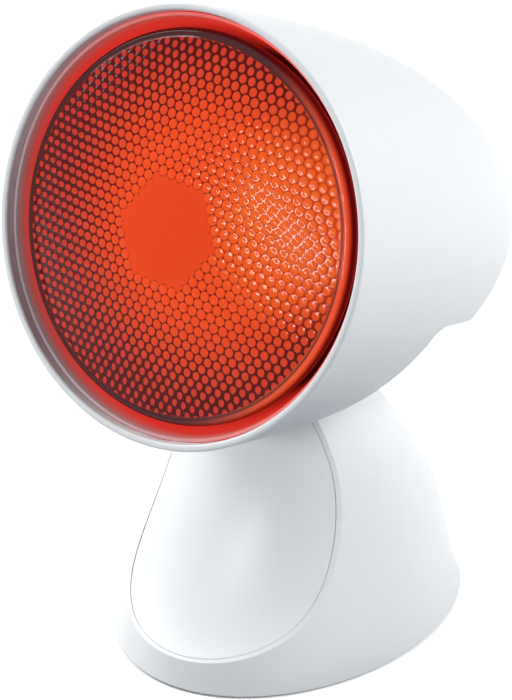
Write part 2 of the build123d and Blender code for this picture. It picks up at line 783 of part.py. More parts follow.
# ---- bulb
with BuildPart() as bulb_lens:
    with BuildSketch(lamp_section):
        with BuildLine():
            apex = lens_rise - lens_edge_depth
            dome = TangentArc((0, apex), (lens_radius, -lens_edge_depth), tangent=(1, 0))
            Polyline(dome @ 1, (lens_radius + groove, -lens_edge_depth - groove / 2))
            bead = ThreePointArc((lens_radius + groove, -lens_edge_depth - groove / 2),
                                 (bulb_radius, -bead_depth), (bulb_radius - 0.6, -joint_depth))
            under = Line(bead @ 1, (lens_radius - lens_glass, -joint_depth))
            TangentArc((0, apex - lens_glass), under @ 1, tangent=(1, 0))
            Line((0, apex - lens_glass), (0, apex))
        make_face()
    revolve(axis=lamp_axis)
save(bulb_lens, "bulb_lens")

neck_inner = reflector_neck - reflector_glass
with BuildPart() as bulb_reflector:
    with BuildSketch(lamp_section):
        with BuildLine():
            middle = ((reflector_mouth + reflector_neck) / 2, -reflector_waist)
            outside = Bezier((reflector_mouth, -reflector_start), middle, (reflector_neck, -reflector_end))
            inside = Bezier((reflector_mouth - reflector_glass, -joint_depth),
                            (middle[0] - reflector_glass, middle[1]), (neck_inner, -reflector_end))
            Polyline(outside @ 1, (reflector_neck, -neck_end), (neck_inner, -neck_end), inside @ 1)
            ThreePointArc(outside @ 0, (bulb_radius - 1.2, -reflector_start + 0.8),
                          (bulb_radius - 0.6, -joint_depth))
            Line((bulb_radius - 0.6, -joint_depth), inside @ 0)
        make_face()
    revolve(axis=lamp_axis)
save(bulb_reflector, "bulb_reflector")

cap_mouth = reflector_neck + running_clearance
with BuildPart() as bulb_cap:
    with BuildSketch(lamp_section):
        with BuildLine():
            Polyline(
                (cap_mouth + cap_wall, -neck_end + 4), (cap_mouth + cap_wall, -neck_end),
                (cap_radius, -cap_start), (cap_radius, -cap_end), (cap_radius - cap_wall, -cap_end),
                (cap_radius - cap_wall, -cap_start + 0.5), (cap_mouth, -neck_end - 0.2),
                (cap_mouth, -neck_end + 4), close=True,
            )
        make_face()
    revolve(axis=lamp_axis)
save(bulb_cap, "bulb_cap")

insulator_radius = cap_radius - cap_wall - running_clearance
with BuildPart() as cap_insulator:
    with BuildSketch(lamp_section):
        with BuildLine():
            Polyline(
                (0, -cap_end + 3), (insulator_radius, -cap_end + 3), (insulator_radius, -cap_end),
                (contact_radius + 1, -insulator_end), (0, -insulator_end), close=True,
            )
        make_face()
    revolve(axis=lamp_axis)
save(cap_insulator, "cap_insulator")

with BuildPart() as cap_contact:
    with BuildSketch(cross_plane(insulator_end)):
        Circle(contact_radius)
    extrude(amount=insulator_end - contact_end)
    chamfer(cap_contact.faces().sort_by(Axis(rim_centre, lamp_forward))[0].edges(), 0.6)
save(cap_contact, "cap_contact")

stem_tip = neck_end - stem_foot - stem_length
with BuildPart() as glass_stem:
    with BuildSketch(cross_plane(neck_end)):
        Circle(neck_inner)
    extrude(amount=stem_foot)
    with BuildSketch(cross_plane(neck_end - stem_foot)):
        Circle(stem_radius)
    extrude(amount=stem_length, taper=12)
save(glass_stem, "glass_stem")

with BuildPart() as filament_posts:
    with BuildSketch(cross_plane(stem_tip)):
        with GridLocations(post_spread, 0, 2, 1):
            Circle(post_radius)
    extrude(amount=stem_tip - filament_depth)
save(filament_posts, "filament_posts")

filament_plane = cross_plane(filament_depth - post_radius)
with BuildPart() as filament:
    with BuildLine(filament_plane) as loop:
        ThreePointArc((-post_spread / 2, 0), (0, filament_radius), (post_spread / 2, 0))
    with BuildSketch(Plane(origin=loop.line @ 0, z_dir=loop.line % 0)):
        Circle(post_radius)
    sweep()
save(filament, "filament")

# ---- lampholder and what carries it
sleeve_radius = cap_radius + cap_clearance
with BuildPart() as lampholder_body:
    with BuildSketch(lamp_section):
        with BuildLine():
            FilletPolyline(
                (holder_bore, -holder_start), (holder_radius, -holder_start), (holder_radius, -waist_start),
                (holder_waist, -waist_start - 3.5), (holder_waist, -holder_end), radius=1,
            )
            Polyline(
                (holder_waist, -holder_end), (nipple_radius, -holder_end), (nipple_radius, -bore_end),
                (holder_bore, -bore_end), (holder_bore, -holder_start),
            )
        make_face()
    revolve(axis=lamp_axis)
    with Locations(terminal_plane):
        with GridLocations(2 * terminal_spread, 0, 2, 1):
            Box(terminal_width, terminal_length, terminal_height, align=BASE, mode=Mode.SUBTRACT)
save(lampholder_body, "lampholder_body")

with BuildPart() as lampholder_sleeve:
    with BuildSketch(cross_plane(cap_start)):
        Circle(sleeve_radius + sleeve_wall)
        Circle(sleeve_radius, mode=Mode.SUBTRACT)
    extrude(amount=cap_start - sleeve_end)
    with BuildSketch(cross_plane(sleeve_end)):
        Circle(sleeve_radius + sleeve_wall)
        Circle(contact_radius + 3, mode=Mode.SUBTRACT)
    extrude(amount=sleeve_end - bore_end)
save(lampholder_sleeve, "lampholder_sleeve")

with BuildPart() as lampholder_contact:
    with BuildSketch(lamp_side):
        with BuildLine():
            spread = contact_radius - 0.6
            Polyline((bore_end - 0.25, spread), (bore_end - 0.25, 1.5), (contact_end + 0.3, -0.5),
                     (contact_end + 0.3, -2.5))
        trace(line_width=0.5)
    extrude(amount=2.5, both=True)
save(lampholder_contact, "lampholder_contact")

with BuildPart() as lampholder_terminals:
    with Locations(terminal_plane):
        with GridLocations(2 * terminal_spread, 0, 2, 1):
            Box(terminal_width, terminal_length, terminal_height, align=BASE)
            Cylinder(1.4, 0.8, align=BASE, mode=Mode.SUBTRACT)
save(lampholder_terminals, "lampholder_terminals")

with BuildPart() as lampholder_nipple:
    with BuildSketch(cross_plane(holder_end + steel + nut_height + 0.6)):
        Circle(nipple_radius)
        Circle(nipple_bore, mode=Mode.SUBTRACT)
    extrude(amount=nipple_length)
save(lampholder_nipple, "lampholder_nipple")

with BuildPart() as nipple_nut:
    with BuildSketch(cross_plane(holder_end + steel)):
        RegularPolygon(nut_radius, 6)
        Circle(nipple_radius, mode=Mode.SUBTRACT)
    extrude(amount=-nut_height)
save(nipple_nut, "nipple_nut")

with BuildPart() as head_bracket:
    with BuildSketch(cross_plane(holder_end)):
        with Locations((0, bracket_top)):
            RectangleRounded(2 * bracket_half_width, bracket_top - strip_top - 2, 2,
                             align=(Align.CENTER, Align.MAX))
        SlotOverall(2 * (ear_screw + ear_half_width), 2 * ear_half_width)
    extrude(amount=-steel)
    # the strip forward along the arm, bent up into the plate
    with BuildSketch(lamp_side):
        with BuildLine():
            along, up = strip_top - steel / 2, holder_end + steel / 2
            FilletPolyline((strip_start, along), (up, along), (up, strip_top + 4), radius=steel)
        trace(line_width=steel)
    extrude(amount=arm_half_width, both=True)
    with BuildSketch(cross_plane(holder_end)):
        Circle(nipple_radius + running_clearance)
        with GridLocations(2 * ear_screw, 0, 2, 1):
            Circle(screw_radius + screw_clearance)
    extrude(amount=-2 * steel, mode=Mode.SUBTRACT)
    with BuildSketch(strip_plane):
        with Locations((strip_screw_depth, 0)):
            with GridLocations(0, 2 * strip_screw_spread, 1, 2):
                Circle(screw_radius + screw_clearance)
    extrude(amount=-2 * steel, mode=Mode.SUBTRACT)
save(head_bracket, "head_bracket")

with BuildPart() as bracket_screws:
    with BuildSketch(cross_plane(holder_end)):
        with GridLocations(2 * ear_screw, 0, 2, 1):
            Circle(screw_radius)
    extrude(amount=-screw_length)
    with BuildSketch(cross_plane(holder_end)):
        with GridLocations(2 * ear_screw, 0, 2, 1):
            Circle(screw_head)
    extrude(amount=screw_head_height)
    with BuildSketch(cross_plane(holder_end - screw_head_height)):
        with GridLocations(2 * ear_screw, 0, 2, 1):
            Rectangle(0.6, 2.6)
            Rectangle(2.6, 0.6)
    extrude(amount=-1, mode=Mode.SUBTRACT)
save(bracket_screws, "bracket_screws")

with BuildPart() as arm_screws:
    with BuildSketch(strip_plane):
        with Locations((strip_screw_depth, 0)):
            with GridLocations(0, 2 * strip_screw_spread, 1, 2):
                Circle(screw_radius)
    extrude(amount=-screw_length)
    with BuildSketch(strip_plane):
        with Locations((strip_screw_depth, 0)):
            with GridLocations(0, 2 * strip_screw_spread, 1, 2):
                Circle(screw_head)
    extrude(amount=screw_head_height - 0.3)
save(arm_screws, "arm_screws")

# the arm's side view: up from the hub to the bracket's strip
hub_top = (pivot_depth, pivot_up + hub_radius)
arm_top = strip_top - steel
with BuildPart() as hinge_arm:
    with BuildSketch(lamp_side):
        with BuildLine():
            Polyline(hub_top, (strip_start, arm_top), (arm_tip_depth, arm_top),
                     (arm_tip_depth, arm_top - arm_tip_thickness), arm_heel, (pivot_depth, pivot_up), hub_top)
        make_face()
    extrude(amount=arm_half_width, both=True)
    # pockets that leave a rib down the middle of the casting
    with BuildSketch(lamp_side.offset(arm_rib)) as pocket:
        with BuildLine():
            Polyline(hub_top, (strip_start, arm_top), (arm_tip_depth, arm_top),
                     (arm_tip_depth, arm_top - arm_tip_thickness), arm_heel, (pivot_depth, pivot_up), hub_top)
        make_face()
        offset(amount=-arm_wall, mode=Mode.REPLACE)
        with Locations((strip_screw_depth, arm_top)):
            Rectangle(4 * screw_radius, 60, mode=Mode.SUBTRACT)
    pocket_cut = extrude(amount=arm_half_width, mode=Mode.SUBTRACT)
    mirror(pocket_cut, about=Plane.YZ, mode=Mode.SUBTRACT)
    with BuildSketch(pivot_side):
        Circle(hub_radius)
        for step in range(notch_count):
            turn = -90 + (step - (notch_count - 1) / 2) * notch_pitch
            with Locations((notch_centre * cos(radians(turn)), notch_centre * sin(radians(turn)))):
                Circle(notch_radius, mode=Mode.SUBTRACT)
    extrude(amount=hub_half_width, both=True)
    with BuildSketch(pivot_side):
        Circle(bush_radius)
    extrude(amount=hub_half_width, both=True, mode=Mode.SUBTRACT)
    # the wires' way: up out of the hub and along the arm's top
    with BuildSketch(wire_way_plane):
        SlotOverall(wire_way_width, wire_way_depth)
    extrude(amount=hub_radius + 5, mode=Mode.SUBTRACT)
    with BuildSketch(lamp_side):
        with BuildLine():
            Polyline(hub_top, (strip_start, arm_top), (strip_start, arm_top + 5), (hub_top[0], hub_top[1] + 5),
                     hub_top)
        make_face()
        with Locations(hub_top):
            Rectangle(wire_way_depth, 2 * wire_way_depth)
        offset(amount=wire_way_depth, kind=Kind.INTERSECTION, mode=Mode.REPLACE)
        with Locations((strip_start, arm_top)):
            Rectangle(60, 60, align=(Align.MIN, Align.CENTER), mode=Mode.SUBTRACT)
    extrude(amount=wire_way_width / 2, both=True, mode=Mode.SUBTRACT)
    with BuildSketch(strip_plane.offset(-steel)):
        with Locations((strip_screw_depth, 0)):
            with GridLocations(0, 2 * strip_screw_spread, 1, 2):
                Circle(screw_radius)
    extrude(amount=steel - screw_length, mode=Mode.SUBTRACT)
save(hinge_arm, "hinge_arm")

with BuildPart() as hub_bush:
    with BuildSketch(pivot_side):
        Circle(bush_radius)
        Circle(axle_radius + running_clearance, mode=Mode.SUBTRACT)
    extrude(amount=hub_half_width, both=True)
    with BuildSketch(wire_way_plane):
        SlotOverall(wire_way_width, wire_way_depth)
    extrude(amount=bush_radius + 1, mode=Mode.SUBTRACT)
save(hub_bush, "hub_bush")

# ==== leads ==============================================================================================
wire_low = strip_top + wire_radius + 0.1
head_route = [
    (pivot_depth, pivot_up + axle_radius + 0.3),
    (pivot_depth, hub_top[1] - wire_way_depth / 2 + 0.2),
    (strip_start - 7, arm_top - 4.6),
    (strip_start - 2, wire_low),
    (terminal_depth, wire_low),
    (terminal_depth, -terminal_seat - terminal_height),
]
with BuildPart() as head_leads:
    for side in (-1, 1):
        add(tube_path(lamp_side.offset(side * terminal_spread), head_route, wire_radius, wire_bend))
save(head_leads, "head_leads")

block_top = plate_top + block_height
foot_route = [
    (wire_way_width / 2 + 1, pivot_z),
    (lead_x, pivot_z),
    (lead_x, ceiling - 12),
    (block_wire_x, ceiling - 22),
    (block_wire_x, block_top),
]
with BuildPart() as foot_leads:
    for side in (-1, 1):
        route_plane = Plane.XZ.offset(-pivot_y + side * (wire_radius + 0.1))
        add(tube_path(route_plane, foot_route, wire_radius, wire_bend))
save(foot_leads, "foot_leads")

blade_tip = switch_plane.origin - switch_out * (body_length + blade_length)
switch_up = Vector(0, -switch_out.Z, switch_out.Y)
block_back = block_y + block_depth / 2
with BuildPart() as switch_leads:
    for side in (-1, 1):
        tip = blade_tip + switch_up * blade_spread * side
        turn_in = tip - switch_out * lead_run
        route = [
            (tip.Y, tip.Z), (turn_in.Y, turn_in.Z), (block_back + lead_slack - 2 * side, block_wire_z),
            (block_back, block_wire_z),
        ]
        add(tube_path(Plane.YZ.offset(side * lead_spread), route, wire_radius, wire_bend))
save(switch_leads, "switch_leads")
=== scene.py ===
import math

import bmesh
import bpy
from mathutils import Euler, Matrix, Vector
from mathutils.geometry import delaunay_2d_cdt


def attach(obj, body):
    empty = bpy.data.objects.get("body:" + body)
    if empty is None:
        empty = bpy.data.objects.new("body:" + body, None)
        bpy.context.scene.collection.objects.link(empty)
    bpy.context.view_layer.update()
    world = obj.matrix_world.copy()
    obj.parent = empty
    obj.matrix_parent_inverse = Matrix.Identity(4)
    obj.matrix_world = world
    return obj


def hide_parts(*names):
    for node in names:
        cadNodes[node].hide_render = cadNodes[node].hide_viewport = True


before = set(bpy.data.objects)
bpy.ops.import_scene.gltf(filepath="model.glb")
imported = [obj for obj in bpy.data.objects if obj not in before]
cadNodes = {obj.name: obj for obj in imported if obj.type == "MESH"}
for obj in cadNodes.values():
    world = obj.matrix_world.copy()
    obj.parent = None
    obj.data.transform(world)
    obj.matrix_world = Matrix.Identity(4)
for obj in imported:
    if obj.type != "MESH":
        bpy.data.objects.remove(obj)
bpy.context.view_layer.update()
mm = 0.001

# where the lamp head points, as in the frame: the mouth's middle and the tilt of its axis
head = {"mouth": (0.0, -69.3, 158.4), "pitch": 17.7}
headTurn = Euler((math.radians(90 - head["pitch"]), 0, 0))
headPlace = Matrix.Translation(Vector(head["mouth"]) * mm) @ headTurn.to_matrix().to_4x4()


def linear(hexColour):
    parts = [int(hexColour[i:i + 2], 16) / 255 for i in (0, 2, 4)]
    return [p / 12.92 if p <= 0.04045 else ((p + 0.055) / 1.055) ** 2.4 for p in parts] + [1]


def addNode(tree, kind, inputs=None, **settings):
    node = tree.nodes.new(kind)
    for name, value in settings.items():
        setattr(node, name, value)
    for name, value in (inputs or {}).items():
        if isinstance(value, bpy.types.NodeSocket):
            tree.links.new(value, node.inputs[name])
        else:
            node.inputs[name].default_value = value
    return node


def newMaterial(name, **sockets):
    material = bpy.data.materials.new(name)
    material.use_nodes = True
    tree = material.node_tree
    tree.nodes.clear()
    shader = addNode(tree, "ShaderNodeBsdfPrincipled",
                     {socket.replace("_", " "): value for socket, value in sockets.items()})
    addNode(tree, "ShaderNodeOutputMaterial", {"Surface": shader.outputs[0]})
    return material, tree, shader


def paint(material, *names):
    for name in names:
        slots = cadNodes[name].data.materials
        slots.clear()
        slots.append(material)


relief = {"detail": 2.0, "roughness": 0.55}


def grain(tree, shader, size, depth):
    # fine relief of a moulded, cast or plated surface; size and depth in millimetres
    place = addNode(tree, "ShaderNodeTexCoord")
    noise = addNode(tree, "ShaderNodeTexNoise",
                    {"Vector": place.outputs["Object"], "Scale": 1 / (size * mm),
                     "Detail": relief["detail"], "Roughness": relief["roughness"]})
    bump = addNode(tree, "ShaderNodeBump",
                   {"Height": noise.outputs["Fac"], "Distance": depth * mm, "Strength": 1.0})
    tree.links.new(bump.outputs[0], shader.inputs["Normal"])
    return noise


def tone(tree, shader, noise, low, high):
    # colour drifts between two close tones with the grain
    drift = addNode(tree, "ShaderNodeMix",
                    {"Factor": noise.outputs["Fac"], "A": linear(low), "B": linear(high)}, data_type="RGBA")
    tree.links.new(drift.outputs["Result"], shader.inputs["Base Color"])


print("frame loaded", len(cadNodes), "nodes")

# plastics, rubber and ceramics: name, low tone, high tone, roughness, IOR, grain and its depth in mm, nodes
plastics = [
    # polished mould: clean white with a soft sheen and a very slight waviness, the cover a touch brighter
    ("mouldedAbsWhite", "F1F4F6", "F5F7F8", 0.42, 1.54, 9.0, 0.012, ("head_shell", "foot_shell")),
    ("mouldedAbsCover", "F3F6F7", "F7F9F9", 0.4, 1.54, 9.0, 0.012, ("front_cover",)),
    # spark-eroded mould: dull, even grey
    ("sparkErodedAbsGrey", "74787C", "7C8084", 0.62, 1.54, 0.35, 0.03, ("base_plate",)),
    # rubber: matt and nearly black
    ("mouldedEpdmRubber", "1B1B1D", "222225", 0.8, 1.52, 0.25, 0.02, ("rubber_feet",)),
    # plasticised PVC: smooth white with a weak sheen
    ("softPvcWhite", "E9EBEC", "EEEFF0", 0.45, 1.53, 0.8, 0.01, ("cable_grommet",)),
    # uncoloured polyamide: creamy, faintly waxy
    ("polyamideNatural", "E6E2D6", "ECE8DD", 0.42, 1.53, 0.7, 0.012, ("terminal_block",)),
    # black polyamide: satin on the housing, smoother on the rocker, which catches a streak of light
    ("polyamideBlack", "17181A", "1E1F22", 0.38, 1.53, 0.3, 0.01, ("switch_housing",)),
    ("polyamideBlackRocker", "131416", "191A1C", 0.26, 1.53, 0.3, 0.006, ("switch_rocker",)),
    # pressed fibre: dry and brown
    ("vulcanFibre", "6B4A32", "7C583C", 0.7, 1.5, 0.5, 0.02, ("friction_washers",)),
    # glazed ceramic: cream with a crisp gloss
    ("glazedSteatite", "ECE9E0", "F1EFE8", 0.22, 1.56, 2.0, 0.01, ("lampholder_body",)),
    # black glass of the bulb's cap: almost a mirror
    ("vitriteBlack", "0B0B0D", "131316", 0.12, 1.6, 1.5, 0.006, ("cap_insulator",)),
]
for name, low, high, roughness, ior, size, depth, names in plastics:
    material, tree, shader = newMaterial(name, Roughness=roughness, IOR=ior)
    tone(tree, shader, grain(tree, shader, size, depth), low, high)
    paint(material, *names)

# metals: name, low tone, high tone, roughness, grain and its depth in mm, nodes
metals = [
    # bright zinc: cool grey, half glossy
    ("zincPlatedSteel", "B9BDC2", "CDD0D3", 0.3, 0.6, 0.006,
     ("base_screws", "terminal_screws", "hinge_axle", "axle_clips", "lampholder_nipple", "nipple_nut",
      "head_bracket", "bracket_screws", "arm_screws")),
    # rolled and pressed: warm yellow with a soft shine
    ("rolledBrass", "C9A55C", "D8B66C", 0.24, 0.8, 0.004,
     ("switch_terminals", "lampholder_sleeve", "lampholder_contact", "lampholder_terminals", "cap_contact")),
    # rolled and hardened: darker grey with sharper light
    ("springSteelStrip", "8E9196", "A6A9AD", 0.22, 0.7, 0.004, ("detent_spring",)),
    # pressure die-cast skin: dull, slightly rough grey
    ("castAluminium", "A2A5A9", "B4B7BA", 0.48, 0.45, 0.02, ("hinge_arm",)),
    # porous bronze: matt brown
    ("sinteredBronze", "A07A48", "B58C58", 0.5, 0.3, 0.01, ("hub_bush",)),
    # rolled cap shell: light and bright
    ("rolledAluminiumCap", "D6D7D6", "E0E0DE", 0.2, 0.9, 0.006, ("bulb_cap",)),
    # drawn wire: dark grey
    ("tungstenWire", "6C6C70", "7C7C80", 0.4, 0.2, 0.004, ("filament", "filament_posts")),
    # metal vapour on glass: a mirror with the glass's long waves
    ("aluminisedGlass", "C9CBCE", "D6D8DA", 0.08, 6.0, 0.01, ("bulb_reflector",)),
]
for name, low, high, roughness, size, depth, names in metals:
    material, tree, shader = newMaterial(name, Metallic=1.0, Roughness=roughness)
    tone(tree, shader, grain(tree, shader, size, depth), low, high)
    paint(material, *names)

# braided glass-fibre sleeve: dry off-white, the braid shows as fine crossing ribs
braid = {"pitch": 1.184, "depth": 0.06, "unevenness": 0.4, "low": "B9B6AC", "high": "E4E2DA",
         "roughness": 0.7, "ior": 1.5}
waveScale = math.tau / 20 / (braid["pitch"] * mm)  # the wave texture turns 20 radians in a unit
sleeve, tree, shader = newMaterial("braidedGlassSleeve", Roughness=braid["roughness"], IOR=braid["ior"])
place = addNode(tree, "ShaderNodeTexCoord")
ribs = [addNode(tree, "ShaderNodeTexWave",
                {"Vector": place.outputs["Object"], "Scale": waveScale, "Distortion": braid["unevenness"]},
                bands_direction=axis) for axis in ("X", "Z")]
crossed = addNode(tree, "ShaderNodeMath", {0: ribs[0].outputs["Fac"], 1: ribs[1].outputs["Fac"]},
                  operation="MULTIPLY")
bump = addNode(tree, "ShaderNodeBump", {"Height": crossed.outputs[0], "Distance": braid["depth"] * mm})
tree.links.new(bump.outputs[0], shader.inputs["Normal"])
strands = addNode(tree, "ShaderNodeMix",
                  {"Factor": crossed.outputs[0], "A": linear(braid["low"]), "B": linear(braid["high"])},
                  data_type="RGBA")
tree.links.new(strands.outputs["Result"], shader.inputs["Base Color"])
paint(sleeve, "foot_leads", "switch_leads", "head_leads")

# drawn soda glass of the stem: clear, slightly green
stem = {"roughness": 0.03, "ior": 1.52, "grain": 3.0, "depth": 0.01, "low": "DDE8E4", "high": "E8F0EE"}
stemGlass, tree, shader = newMaterial("drawnSodaGlass", Roughness=stem["roughness"], IOR=stem["ior"],
                                      Transmission_Weight=1.0)
tone(tree, shader, grain(tree, shader, stem["grain"], stem["depth"]), stem["low"], stem["high"])
paint(stemGlass, "glass_stem")
print("small parts finished")

# bowl round the bulb; depths in mm behind the mouth, the lean makes the painted red glow start sooner at the
# top right
bowl = {"reach": 40.0, "paintedGlowLean": (0.03, 0.02, -1.0), "roughness": 0.45, "metallic": 0.15, "emission": 0.55,
        "base": [(0.0, "6E6466"), (1.2, "A89A9C"), (3.6, "C4645F"), (7.0, "E03C34"), (22.0, "B8241C"),
                 (34.0, "4A0A08")],
        "glow": [(0.0, "3A3436"), (1.2, "75676A"), (3.6, "B8524C"), (6.8, "F03C32"), (18.0, "D42C22"),
                 (32.0, "3A0605")]}

# spun aluminium under a satin lacquer; its colour and emission carry painted light: painted shade darkens the
# grey at the mouth and deep inside, and a painted red glow stands in for the bulb's light falling on it
bowlMetal, tree, shader = newMaterial("lacqueredAluminiumBowl", Roughness=bowl["roughness"],
                                      Metallic=bowl["metallic"], Emission_Strength=bowl["emission"])
place = addNode(tree, "ShaderNodeTexCoord")
local = addNode(tree, "ShaderNodeMapping",
                {"Vector": place.outputs["Object"], "Location": Vector(head["mouth"]) * mm,
                 "Rotation": headTurn}, vector_type="TEXTURE")
behind = addNode(tree, "ShaderNodeVectorMath", {0: local.outputs[0], 1: bowl["paintedGlowLean"]},
                 operation="DOT_PRODUCT")
depth = addNode(tree, "ShaderNodeMapRange",
                {"Value": behind.outputs["Value"], "From Max": bowl["reach"] * mm})
for socket, stops in (("Base Color", bowl["base"]), ("Emission Color", bowl["glow"])):
    ramp = addNode(tree, "ShaderNodeValToRGB", {0: depth.outputs[0]})
    while len(ramp.color_ramp.elements) < len(stops):
        ramp.color_ramp.elements.new(0.5)
    for element, (at, colour) in zip(ramp.color_ramp.elements, stops):
        element.position = at / bowl["reach"]
        element.color = linear(colour)
    tree.links.new(ramp.outputs[0], shader.inputs[socket])
paint(bowlMetal, "lamp_liner")
print("bowl finished")

# ruby lens of the reflector bulb, in mm; lattice turn in degrees, lattice middle off the lamp's axis
lens = {
    "radius": 57.6, "rise": 8.2, "edgeDepth": 3.4, "beadRadius": 60.5, "beadDepth": 6.2, "jointDepth": 8.6,
    "glass": 2.6, "pitch": 3.316, "latticeTurn": -3.57, "latticeMiddle": (-0.1, -0.9),
    "smoothRings": 5,      # of pips left out round the middle one
    "pipHeight": 0.16, "pipReach": 57.4, "pipFade": 0.8,
    "pipRadius": 0.55,     # of the round part of a pip, in lattice steps
    "hexShare": 0.6,       # how far a pip's outline follows its cell, the rest is round
    # edgeGlow: share of the bead's painted crest light along the sheet's edge, which also sets how much of
    # the pip pattern shows there
    "edgeGlow": 0.8,
    "fine": 8,             # mesh steps in a lattice step
    "edgeGap": 0.3,        # between the lattice's points and the edge ring
    "segments": 360,
}
sphere = (lens["radius"] ** 2 + lens["rise"] ** 2) / (2 * lens["rise"])
apex = lens["rise"] - lens["edgeDepth"]
rowStep = math.sqrt(3) / 2
latticeTurn = Matrix.Rotation(math.radians(lens["latticeTurn"]), 2)
latticeMiddle = Vector(lens["latticeMiddle"])


def latticePlace(spot):
    # a place on the lens in lattice steps from the middle pip
    return latticeTurn.transposed() @ (spot - latticeMiddle) / lens["pitch"]


def nearestPip(x, y):
    # lattice place -> ring of the nearest pip, and how far out in its cell: 0 in the middle, 1 at the edge
    row = round(y / rowStep)
    best = None
    for j in (row - 1, row, row + 1):
        i = round(x - j / 2)
        dx, dy = x - (i + j / 2), y - j * rowStep
        gap = dx * dx + dy * dy
        if best is None or gap < best[0]:
            best = (gap, i, j, dx, dy)
    gap, i, j, dx, dy = best
    ring = max(abs(i), abs(j), abs(i + j))
    side = max(abs(dx), abs(dx / 2 + dy * rowStep), abs(dx / 2 - dy * rowStep)) * 2
    return ring, lens["hexShare"] * side + (1 - lens["hexShare"]) * math.sqrt(gap) / lens["pipRadius"]


def domeHeight(radius):
    return apex - sphere + math.sqrt(sphere ** 2 - radius ** 2)


def circle(radius):
    turns = [math.tau * i / lens["segments"] for i in range(lens["segments"])]
    return [Vector((math.cos(turn), math.sin(turn))) * radius for turn in turns]


def lensPlan():
    # flat triangles on a lattice finer than the pips, closed by a ring of points at the edge
    fine, pitch = lens["fine"], lens["pitch"]
    reach = int(lens["radius"] / pitch * fine / rowStep) + 2
    spots = []
    for j in range(-reach, reach + 1):
        for i in range(-2 * reach, 2 * reach + 1):
            steps = Vector(((i + j / 2) / fine, j * rowStep / fine))
            spot = latticeTurn @ steps * pitch + latticeMiddle
            if spot.length < lens["radius"] - lens["edgeGap"]:
                spots.append(spot)
    start, count = len(spots), lens["segments"]
    ring = [(start + i, start + (i + 1) % count) for i in range(count)]
    spots, _, faces, _, _, _ = delaunay_2d_cdt(spots + circle(lens["radius"]), ring, [], 1, 1e-5)
    return spots, faces


def raiseSheet(bm, pipLayer):
    # the lens's face with its pips; gives back the edge's points in order
    spots, faces = lensPlan()
    edgeLoop = [None] * lens["segments"]
    verts = []
    for spot in spots:
        radius = spot.length
        ringNumber, out = nearestPip(*latticePlace(spot))
        present = ringNumber > lens["smoothRings"]
        fade = min(1, max(0, (lens["pipReach"] - radius) / lens["pipFade"]))
        swell = (0.5 + 0.5 * math.cos(math.pi * min(out, 1))) * fade if present else 0
        height = domeHeight(min(radius, lens["radius"])) - lens["pipHeight"] * (1 - swell)
        vert = bm.verts.new((spot.x, spot.y, height))
        vert[pipLayer] = 1.0 if present else 0.0
        if abs(radius - lens["radius"]) < 1e-3:
            turn = math.atan2(spot.y, spot.x) / math.tau
            edgeLoop[round(turn * lens["segments"]) % lens["segments"]] = vert
            vert.co.z = domeHeight(lens["radius"])
            vert[pipLayer] = lens["edgeGlow"]
        verts.append(vert)
    for face in faces:
        bm.faces.new([verts[i] for i in face])
    print("lens sheet", len(spots), "points")
    return edgeLoop


def turnBack(bm, pipLayer, loop):
    # groove, bead, underside and back of the glass, turned from the sheet's edge
    edge, bead, joint, glass = (lens[name] for name in ("edgeDepth", "beadDepth", "jointDepth", "glass"))
    # radius, depth behind the mouth, share of the bead's painted crest light
    profile = [
        (57.9, edge + 0.5, 0.1), (58.2, edge + 0.55, 0.3), (58.7, edge + 0.3, 1), (59.4, edge + 0.45, 1),
        (60.0, edge + 1.1, 0.6), (60.4, edge + 2.0, 0.05), (lens["beadRadius"], bead, 0),
        (60.4, bead + 1.2, 0), (59.9, joint, 0), (lens["radius"] - glass, joint, 0),
    ]
    profile += [(radius, glass - domeHeight(radius), 0) for radius in (40, 20, 6)]
    for radius, depth, share in profile:
        nextLoop = []
        for spot in circle(radius):
            vert = bm.verts.new((spot.x, spot.y, -depth))
            vert[pipLayer] = share
            nextLoop.append(vert)
        for i in range(lens["segments"]):
            k = (i + 1) % lens["segments"]
            bm.faces.new((loop[i], nextLoop[i], nextLoop[k], loop[k])).material_index = 1
        loop = nextLoop
    bm.faces.new(loop).material_index = 1


mesh = bpy.data.meshes.new("rubyLens")
bm = bmesh.new()
pipLayer = bm.verts.layers.float.new("pip")
turnBack(bm, pipLayer, raiseSheet(bm, pipLayer))
bmesh.ops.recalc_face_normals(bm, faces=bm.faces)
uvLayer = bm.loops.layers.uv.new("lensPlan")
for face in bm.faces:
    face.smooth = True
    for corner in face.loops:
        corner[uvLayer].uv = latticePlace(corner.vert.co.xy)
bm.transform(headPlace @ Matrix.Scale(mm, 4))
bm.to_mesh(mesh)
bm.free()
rubyLens = bpy.data.objects.new("rubyLens", mesh)
bpy.context.scene.collection.objects.link(rubyLens)

# colours of the lit glass; places and reaches are lattice steps from the middle pip
glow = {"paintedLightAt": (12.5, 5.0), "paintedLightReach": (11.5, 4.0), "darkAway": (4.2, 2.0), "darkReach": (7.0, 18.5),
        "smallReach": (8.0, 20.5), "leftReach": (-3.0, -13.0), "inward": 0.022,
        "disc": (0.478, 0.478), "leftDisc": (0.58, 0.4), "rimLoss": (0.24, 0.12), "discEdge": (1.09, 0.88),
        # net and disc tones: in the middle, at the rim with painted shade, and with a painted highlight on
        # the right
        "net": ("6A0A02", "520305", "C83C10"),       # in the middle, at the rim, where it is lit
        "discs": ("F24C18", "C43322", "F2601C"),
        "patch": ("E23C12", "EE4A18"), "speckle": 3.2, "speckleDetail": 3.0,
        "emission": 0.6, "dimmer": 0.42, "gloss": 0.11, "roughness": 0.09, "ior": 1.52}
